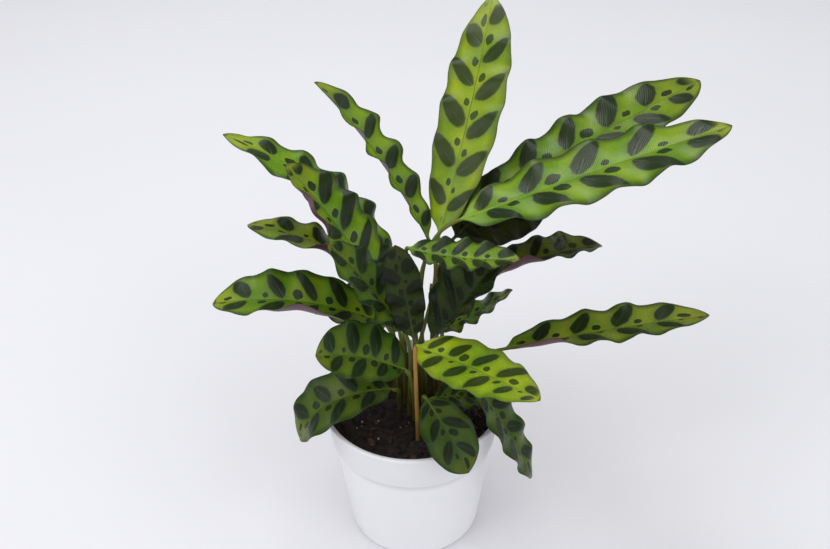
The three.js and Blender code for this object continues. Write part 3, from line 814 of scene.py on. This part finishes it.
def leaf_skin(leaf, number, sizes):
    """Points of one leaf as rings by columns, each column's v and each ring's s, below 0 on the stalk."""
    size, width = leaf[4][0] * MM, leaf[4][1] * MM
    fold = math.radians(leaf[5][2])
    half_count = len(COLUMNS)
    v = np.concatenate([COLUMNS, COLUMNS[::-1], COLUMNS[:1]])
    under = np.arange(len(v)) >= half_count
    under[-1] = False  # the last column repeats the first, where the grid closes along its seam
    column = np.where(under, 2 * half_count - 1 - np.arange(len(v)), np.arange(len(v)))
    column[-1] = 0
    angle = np.pi * (half_count - column - 0.5) / half_count
    sign = np.where(under, -1.0, 1.0)

    count = int(size / sizes.ring_step)
    even = np.linspace(0, 1, count + 1)
    s = even - 0.04 * np.sin(2 * np.pi * even)
    s[-1] = 0.999
    _, across, out = blade_frame(leaf, s)
    flat = smoothstep(s, 0, 0.07)[:, None]
    half = np.maximum(width / 2 * outline(s) * math.cos(fold), 0.0004)[:, None]
    x = half * v[None, :]
    thick = sizes.thickness / 2 + (sizes.margin - sizes.thickness) / 2 * np.abs(v[None, :]) ** 2
    rib = np.exp(-((x / RIB_REACH) ** 2))
    keel = np.where(under, sizes.keel, -sizes.groove)[None, :] * rib * (1 - 0.9 * s[:, None])
    high = sizes.neck_radius * np.sin(angle)[None, :] * (1 - flat) + (thick + keel) * flat
    wide = sizes.neck_radius * np.cos(angle)[None, :] * (1 - flat) + x * flat
    rise = flat * lift(leaf, number, s[:, None], v[None, :]) + sign * high
    blade = midrib(leaf, s)[:, None] + across[:, None] * wide[..., None] + out[:, None] * rise[..., None]

    stalk, places = [], []
    for centre, side, top, radius, place in stalk_rings(leaf, sizes):
        ring = side * np.cos(angle)[:, None] + top * (np.sin(angle) * sign)[:, None]
        stalk.append(centre + ring * radius)
        places.append(place)
    foot = np.repeat(stalk[0].mean(0)[None], len(v), 0)
    tip = np.repeat(midrib(leaf, np.ones(1)), len(v), 0)
    rings = np.concatenate([foot[None], np.array(stalk), blade, tip[None]])
    shares = np.concatenate([[places[0]], places, s, [1.0]])
    return rings, v, shares


def model_leaf(number, leaf, sizes, materials):
    """One leaf: a grid wrapped round the stalk and blade, closed along its seam and at both ends."""
    rings, v, shares = leaf_skin(leaf, number, sizes)
    rows, columns = rings.shape[:2]
    clear_selection()
    bpy.ops.mesh.primitive_grid_add(x_subdivisions=columns - 1, y_subdivisions=rows - 1, size=2)
    obj = bpy.context.object
    mesh = obj.data
    flat = points_of(obj)
    column = np.rint((flat[:, 0] + 1) / 2 * (columns - 1)).astype(int)
    row = np.rint((flat[:, 1] + 1) / 2 * (rows - 1)).astype(int)
    set_points(obj, rings[row, column])

    corner = np.empty(len(mesh.loops), dtype=int)
    mesh.loops.foreach_get("vertex_index", corner)
    faces = corner.reshape(-1, 4)
    first = column[faces].min(1)
    middle = (v[first] + v[first + 1]) / 2
    right = np.repeat(middle > 0, 4)
    half_count = len(COLUMNS)
    below = (first >= half_count) & (first < 2 * half_count - 1)
    on_stalk = shares[row[faces]].max(1) <= STALK_END
    s = np.clip(shares[row[corner]], 0, 1)
    side = np.abs(v[column[corner]])
    half = leaf[4][1] / 2 * outline(s)
    blade_u = np.where(np.repeat(on_stalk, 4), column[corner] / columns, v[column[corner]] * half / UV_UNIT)
    blade_v = shares[row[corner]]
    marks_v = marks_turn(leaf, number, s, side, right)
    for name, first_part, second in (("Blade", blade_u, blade_v), ("Marks", side, marks_v)):
        layer = mesh.uv_layers.new(name=name) if name != "Blade" else mesh.uv_layers[0]
        layer.name = name
        layer.data.foreach_set("uv", np.stack([first_part, second], -1).astype(np.float32).ravel())
    for part in materials:
        mesh.materials.append(part)
    slots = np.where(on_stalk, 2, np.where(below, 1, 0))
    mesh.polygons.foreach_set("material_index", slots.astype(np.int32))

    for name, values, usual in (
        ("shade", SHADES, USUAL_SHADE), ("marks", MARK_SIZES, 1.0), ("tan", TAN_STALKS, 0.0)
    ):
        value = values.get(number, usual)
        layer = mesh.attributes.new(name, "FLOAT", "POINT")
        layer.data.foreach_set("value", np.full(len(mesh.vertices), value, np.float32))
    edit()
    bpy.ops.mesh.remove_doubles(threshold=2e-6)
    bpy.ops.mesh.normals_make_consistent(inside=False)
    bpy.ops.object.mode_set(mode="OBJECT")
    bpy.ops.object.shade_smooth()
    return settle(obj, f"Leaf_{number:02d}")


# ---- potting mix ---------------------------------------------------------------------------------


def mix_height(x, y):
    """Height of the potting mix at a place."""
    sizes = bpy.context.scene.plant_mix
    a, b = x / MM, y / MM
    mound = sizes.mound * math.exp(-((math.hypot(x, y) / sizes.mound_radius) ** 2))
    lumps = math.sin(a * 0.16 + 1) * math.sin(b * 0.19 + 2) + 0.6 * math.sin(a * 0.31 - b * 0.27)
    crumble = noise.fractal(Vector((a * 0.22, b * 0.22, 3.7)), 0.7, 2.1, 4)
    return sizes.level + mound + sizes.lump * lumps + sizes.rough * crumble


def inner_radius(z):
    """Inside of the pot at a height."""
    sizes = bpy.context.scene.plant_pot
    if z <= sizes.ledge_height:
        share_up = z / sizes.ledge_height
        return sizes.base_radius + (sizes.ledge_radius - sizes.base_radius) * share_up - sizes.wall
    share_up = (z - sizes.ledge_height) / (sizes.height - sizes.ledge_height)
    return sizes.band_radius + (sizes.band_top_radius - sizes.band_radius) * share_up - sizes.wall


def near_stalk(x, y):
    """Whether a place is so near a stalk that the largest crumb could touch it."""
    clear = 0.004
    return any(math.hypot(x - leaf[0][0] * MM, y - leaf[0][1] * MM) < clear for leaf in LEAVES)


def scatter(obj, name, count, seed, sizes, sink):
    """Copies the shape over the mix, each copy turned, sized and partly sunk, and joins them in one piece."""
    chance = random.Random(seed)
    base = points_of(obj)
    wall_clear = 0.003
    rim = inner_radius(bpy.context.scene.plant_mix.level) - wall_clear
    copies = []
    for _ in range(count):
        while True:
            radius, angle = rim * math.sqrt(chance.random()), chance.random() * 2 * math.pi
            x, y = radius * math.cos(angle), radius * math.sin(angle)
            if not near_stalk(x, y):
                break
        size = chance.uniform(*sizes)
        tilt = chance.gauss(0, 0.25)
        turn = Matrix.Rotation(chance.random() * 2 * math.pi, 3, "Z") @ Matrix.Rotation(tilt, 3, "X")
        select_only(obj)
        bpy.ops.object.duplicate()
        copy = bpy.context.object
        stretch = np.array([chance.uniform(0.75, 1.25) for _ in range(3)])
        shaped = (base * stretch * size) @ np.array(turn).T
        height = mix_height(x, y) + (shaped[:, 2].max() - shaped[:, 2].min()) * (0.5 - sink)
        set_points(copy, shaped + np.array([x, y, height]))
        copies.append(copy)
    select_only(obj)
    bpy.ops.object.delete()
    for copy in copies:
        copy.select_set(True)
    bpy.context.view_layer.objects.active = copies[0]
    bpy.ops.object.join()
    return settle(bpy.context.object, name)


def model_crumb(jitter, seed):
    """A faceted crumb one metre across, to be sized down."""
    clear_selection()
    bpy.ops.mesh.primitive_ico_sphere_add(subdivisions=1, radius=0.5)
    obj = bpy.context.object
    edit()
    bpy.ops.transform.resize(value=(1, 0.8, 1), center_override=(0, 0, 0))
    bpy.ops.mesh.bevel(offset=0.09, segments=1, affect="EDGES")
    bpy.ops.object.mode_set(mode="OBJECT")
    chance = np.random.default_rng(seed)
    points = points_of(obj)
    set_points(obj, points * (1 + jitter * (chance.random((len(points), 1)) - 0.5)))
    return obj


def model_chip():
    """A flat splinter of bark one metre long, to be sized down."""
    clear_selection()
    bpy.ops.mesh.primitive_cube_add(size=1)
    obj = bpy.context.object
    edit()
    bpy.ops.transform.resize(value=(1, 0.45, 0.18), center_override=(0, 0, 0))
    bpy.ops.mesh.subdivide(number_cuts=1)
    bpy.ops.mesh.bevel(offset=0.03, segments=1, affect="EDGES")
    bpy.ops.object.mode_set(mode="OBJECT")
    chance = np.random.default_rng(5)
    points = points_of(obj)
    taper = 1 - 0.5 * np.abs(points[:, :1]) ** 1.5
    wobble = 0.06 * (chance.random(points.shape) - 0.5)
    set_points(obj, points * np.concatenate([np.ones_like(taper), taper, taper], 1) + wobble)
    return obj


def model_straw():
    """A thin dry fibre one metre long, slightly bowed, to be sized down."""
    clear_selection()
    bpy.ops.mesh.primitive_cylinder_add(vertices=5, radius=0.022, depth=1, rotation=(0, math.pi / 2, 0))
    obj = bpy.context.object
    bpy.ops.object.transform_apply(rotation=True)
    edit("DESELECT")
    bpy.ops.object.mode_set(mode="OBJECT")
    for edge in obj.data.edges:
        ends = [obj.data.vertices[i].co.x for i in edge.vertices]
        edge.select = abs(ends[0] - ends[1]) > 0.5
    bpy.ops.object.mode_set(mode="EDIT")
    bpy.ops.mesh.subdivide(number_cuts=4)
    bpy.ops.object.mode_set(mode="OBJECT")
    points = points_of(obj)
    points[:, 1] += 0.12 * np.cos(points[:, 0] * math.pi)
    set_points(obj, points)
    return obj


# ---- operators -----------------------------------------------------------------------------------

DISC_RADIUS = 0.020  # of the flat disc in the middle of the pot's underside
FOOT_INSIDE = 0.046  # inner radius of the flat ring on which the pot stands
DRAIN_RISE = 0.0014  # how far the underside rises between the disc and that ring
INSIDE_STEP = 0.007  # height over which the ledge's step runs out inside the pot


class PLANT_OT_pot(Operator):
    """Turns the pot and cuts its drain holes"""

    bl_idname = "plant.pot"
    bl_label = "Nursery pot"

    def execute(self, context):
        p = context.scene.plant_pot
        lip_low = p.height - p.lip_height
        inner_step = p.ledge_height + INSIDE_STEP
        corners = [
            (POLE, 0, 0),
            (DISC_RADIUS, 0, 0.0006),
            (DISC_RADIUS + DRAIN_RISE, DRAIN_RISE, 0.0006),
            (FOOT_INSIDE - DRAIN_RISE, DRAIN_RISE, 0.0006),
            (FOOT_INSIDE, 0, 0.0006),
            (p.base_radius - 0.0002, 0, 0.004),
            (p.ledge_radius, p.ledge_height, 0.0006),
            (p.band_radius, p.ledge_height + 0.0012, 0.001),
            (p.band_top_radius, lip_low, 0.0006),
            (p.lip_radius, lip_low + 0.0008, 0.0012),
            (p.lip_radius, p.height, 0.0018),
            (p.band_top_radius - p.wall, p.height, 0.0012),
            (inner_radius(inner_step), inner_step, 0.003),
            (inner_radius(p.ledge_height), p.ledge_height, 0.003),
            (inner_radius(p.floor), p.floor, 0.005),
            (POLE, p.floor, 0),
        ]
        pot = turned(rounded(corners), p.sides)
        for i in range(p.holes):
            angle = (i + 0.5) / p.holes * 2 * math.pi
            spot = (p.hole_ring * math.cos(angle), p.hole_ring * math.sin(angle), p.floor / 2)
            clear_selection()
            bpy.ops.mesh.primitive_cylinder_add(
                vertices=32, radius=p.hole_radius, depth=p.floor * 3, location=spot
            )
            cutter = context.object
            select_only(pot)
            cut = pot.modifiers.new("Drain hole", "BOOLEAN")
            cut.object, cut.operation, cut.solver = cutter, "DIFFERENCE", "EXACT"
            bpy.ops.object.modifier_apply(modifier=cut.name)
            select_only(cutter)
            bpy.ops.object.delete()
        smooth_by_angle(pot, degrees=32)
        settle(pot, "Pot")
        pot.data.materials.append(pot_plastic())
        finish_piece(pot, "pot", "pot")
        return {"FINISHED"}


class PLANT_OT_mix(Operator):
    """Fills the pot with potting mix that has a crumbly, mounded surface"""

    bl_idname = "plant.mix"
    bl_label = "Potting mix"

    def execute(self, context):
        m, p = context.scene.plant_mix, context.scene.plant_pot
        gap = 0.0003  # between the mix and the pot
        edge = 0.004  # slanted edge at the bottom
        rim = inner_radius(m.level) - gap
        low = p.floor + gap
        inner_step = p.ledge_height + INSIDE_STEP
        profile = [
            (POLE, low),
            (inner_radius(low) - edge, low),
            (inner_radius(low + edge) - gap, low + edge),
            (inner_radius(p.ledge_height) - gap, p.ledge_height),
            (inner_radius(inner_step) - gap, inner_step),
            (rim, m.level),
        ]
        innermost = 0.001  # radius of the surface's last ring
        count = int(rim / m.ring_step)
        profile += [(max(rim * (1 - i / count), innermost), m.level) for i in range(1, count + 1)]
        mix = turned(profile, sides=180)
        points = points_of(mix)
        top = points[:, 2] > m.level - 1e-5
        points[top, 2] = [mix_height(x, y) for x, y in points[top, :2]]
        set_points(mix, points)
        bpy.ops.object.shade_smooth()
        settle(mix, "Potting_mix")
        mix.data.materials.append(crumbly("Peat", m.peat_colour, m.dry_colour, 0.9, 260.0))
        finish_piece(mix, "soil", "soil")
        return {"FINISHED"}


class PLANT_OT_mix_bits(Operator):
    """Strews crumbs, bark, perlite and dry fibres over the potting mix"""

    bl_idname = "plant.mix_bits"
    bl_label = "Crumbs, bark, perlite and straw"

    def execute(self, context):
        m = context.scene.plant_mix
        # Name, shape, number, smallest and largest size, share of its height that is sunk, two colours.
        kinds = (
            ("Crumbs", model_crumb(0.5, 1), m.crumbs, (0.0012, 0.0042), 0.25, m.peat_colour, m.dry_colour),
            ("Bark_chips", model_chip(), m.bark, (0.003, 0.0095), 0.3, m.bark_colour, m.dry_colour),
            ("Perlite", model_crumb(0.35, 2), m.perlite, (0.0011, 0.0031), 0.3, m.perlite_colour,
             m.perlite_colour),
            ("Straw", model_straw(), m.straw, (0.008, 0.021), 0.1, m.straw_colour, m.bark_colour),
        )
        for seed, (name, shape, count, sizes, sink, first, second) in enumerate(kinds):
            piece = scatter(shape, name, count, seed, sizes, sink)
            piece.data.materials.append(crumbly(f"{name} skin", first, second, 0.85, 500.0))
            finish_piece(piece, "soil")
        return {"FINISHED"}


class PLANT_OT_leaves(Operator):
    """Grows every leaf, blade and stalk in one piece"""

    bl_idname = "plant.leaves"
    bl_label = "Leaves"

    def execute(self, context):
        sizes = context.scene.plant_leaf
        for number, leaf in enumerate(LEAVES, 1):
            materials = (upper_face(leaf[7]), lower_face(), stalk_skin())
            obj = model_leaf(number, leaf, sizes, materials)
            finish_piece(obj, f"leaf_{leaf[7]}", f"leaf_{number:02d}")
        return {"FINISHED"}


def area_light(name, place, size, power):
    """A soft rectangular light aimed at the middle of the plant."""
    clear_selection()
    bpy.ops.object.light_add(type="AREA", location=place)
    light = bpy.context.object
    light.name = name
    light.data.shape = "RECTANGLE"
    light.data.size, light.data.size_y = size
    light.data.energy = power
    aim = Vector((0, 0, 0.2)) - Vector(place)
    light.rotation_euler = aim.to_track_quat("-Z", "Y").to_euler()


class PLANT_OT_stage(Operator):
    """Sets the table, the soft lights and the camera"""

    bl_idname = "plant.stage"
    bl_label = "Table, lights and camera"

    def execute(self, context):
        s = context.scene.plant_stage
        clear_selection()
        bpy.ops.mesh.primitive_circle_add(vertices=96, radius=7, fill_type="NGON")
        floor = context.object
        floor.name = "Table"
        made, w, shader = new_material("Table", Roughness=0.75)
        tones = w.group(grain_group(), Patch_Scale=2.0, Grain_Scale=300.0)
        pale = tuple(s.floor)
        w.feed(shader.inputs["Base Color"], w.mix(tones["Patches"], scaled(pale, 0.985), pale))
        floor.data.materials.append(made)

        area_light("Key light", (-1.1, -0.7, 1.5), (1.0, 1.0), s.key)
        area_light("Rear light", (-0.2, 1.1, 2.2), (1.2, 0.9), s.rear)
        area_light("Fill light", (1.2, -1.0, 1.5), (1.3, 1.3), s.fill)

        world = bpy.data.worlds.new("Surround")
        context.scene.world = world
        world.use_nodes = True
        w = Wiring(world.node_tree)
        backward = w.parts(w.node("ShaderNodeTexCoord").outputs["Generated"])[1]
        sky = world.node_tree.nodes["Background"]
        sky.inputs["Color"].default_value = (0.965, 0.97, 0.985, 1)
        w.feed(sky.inputs["Strength"], w.ramp(backward, 0.0, 0.7, s.sky, s.sky * s.sky_back))

        data = bpy.data.cameras.new("Camera")
        data.lens, data.sensor_width = s.lens, 36
        data.clip_start, data.clip_end = 0.02, 30
        camera = bpy.data.objects.new("Camera", data)
        context.collection.objects.link(camera)
        place = Vector(s.camera)
        ahead = (Vector(s.target) - place).normalized()
        across = ahead.cross(Vector((0, 0, 1))).normalized()
        up = across.cross(ahead)
        cosine, sine = math.cos(s.roll), math.sin(s.roll)
        right, top = across * cosine + up * sine, up * cosine - across * sine
        camera.matrix_world = Matrix.Translation(place) @ Matrix((right, top, -ahead)).transposed().to_4x4()
        context.scene.camera = camera
        context.scene.view_settings.view_transform = "Standard"
        return {"FINISHED"}


class PLANT_PT_panel(Panel):
    """Lists the steps that make the plant"""

    bl_idname = "PLANT_PT_panel"
    bl_label = "Rattlesnake plant"
    bl_space_type = "VIEW_3D"
    bl_region_type = "UI"
    bl_category = "Plant"

    def draw(self, context):
        for step in STEPS:
            self.layout.operator(step.bl_idname)


STEPS = (PLANT_OT_pot, PLANT_OT_mix, PLANT_OT_mix_bits, PLANT_OT_leaves, PLANT_OT_stage)
GROUPS = {
    "plant_pot": PotSizes,
    "plant_mix": MixSizes,
    "plant_leaf": LeafSizes,
    "plant_leaf_colours": LeafColours,
    "plant_stage": StageSizes,
}


def register():
    for group in (*GROUPS.values(), *STEPS, PLANT_PT_panel):
        bpy.utils.register_class(group)
    for name, group in GROUPS.items():
        setattr(bpy.types.Scene, name, PointerProperty(type=group))


def unregister():
    for name in GROUPS:
        delattr(bpy.types.Scene, name)
    for group in reversed((*GROUPS.values(), *STEPS, PLANT_PT_panel)):
        bpy.utils.unregister_class(group)


def main():
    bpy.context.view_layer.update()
    register()
    bpy.ops.plant.pot()
    bpy.ops.plant.mix()
    bpy.ops.plant.mix_bits()
    bpy.ops.plant.leaves()
    bpy.ops.plant.stage()


if __name__ == "__main__":
    main()
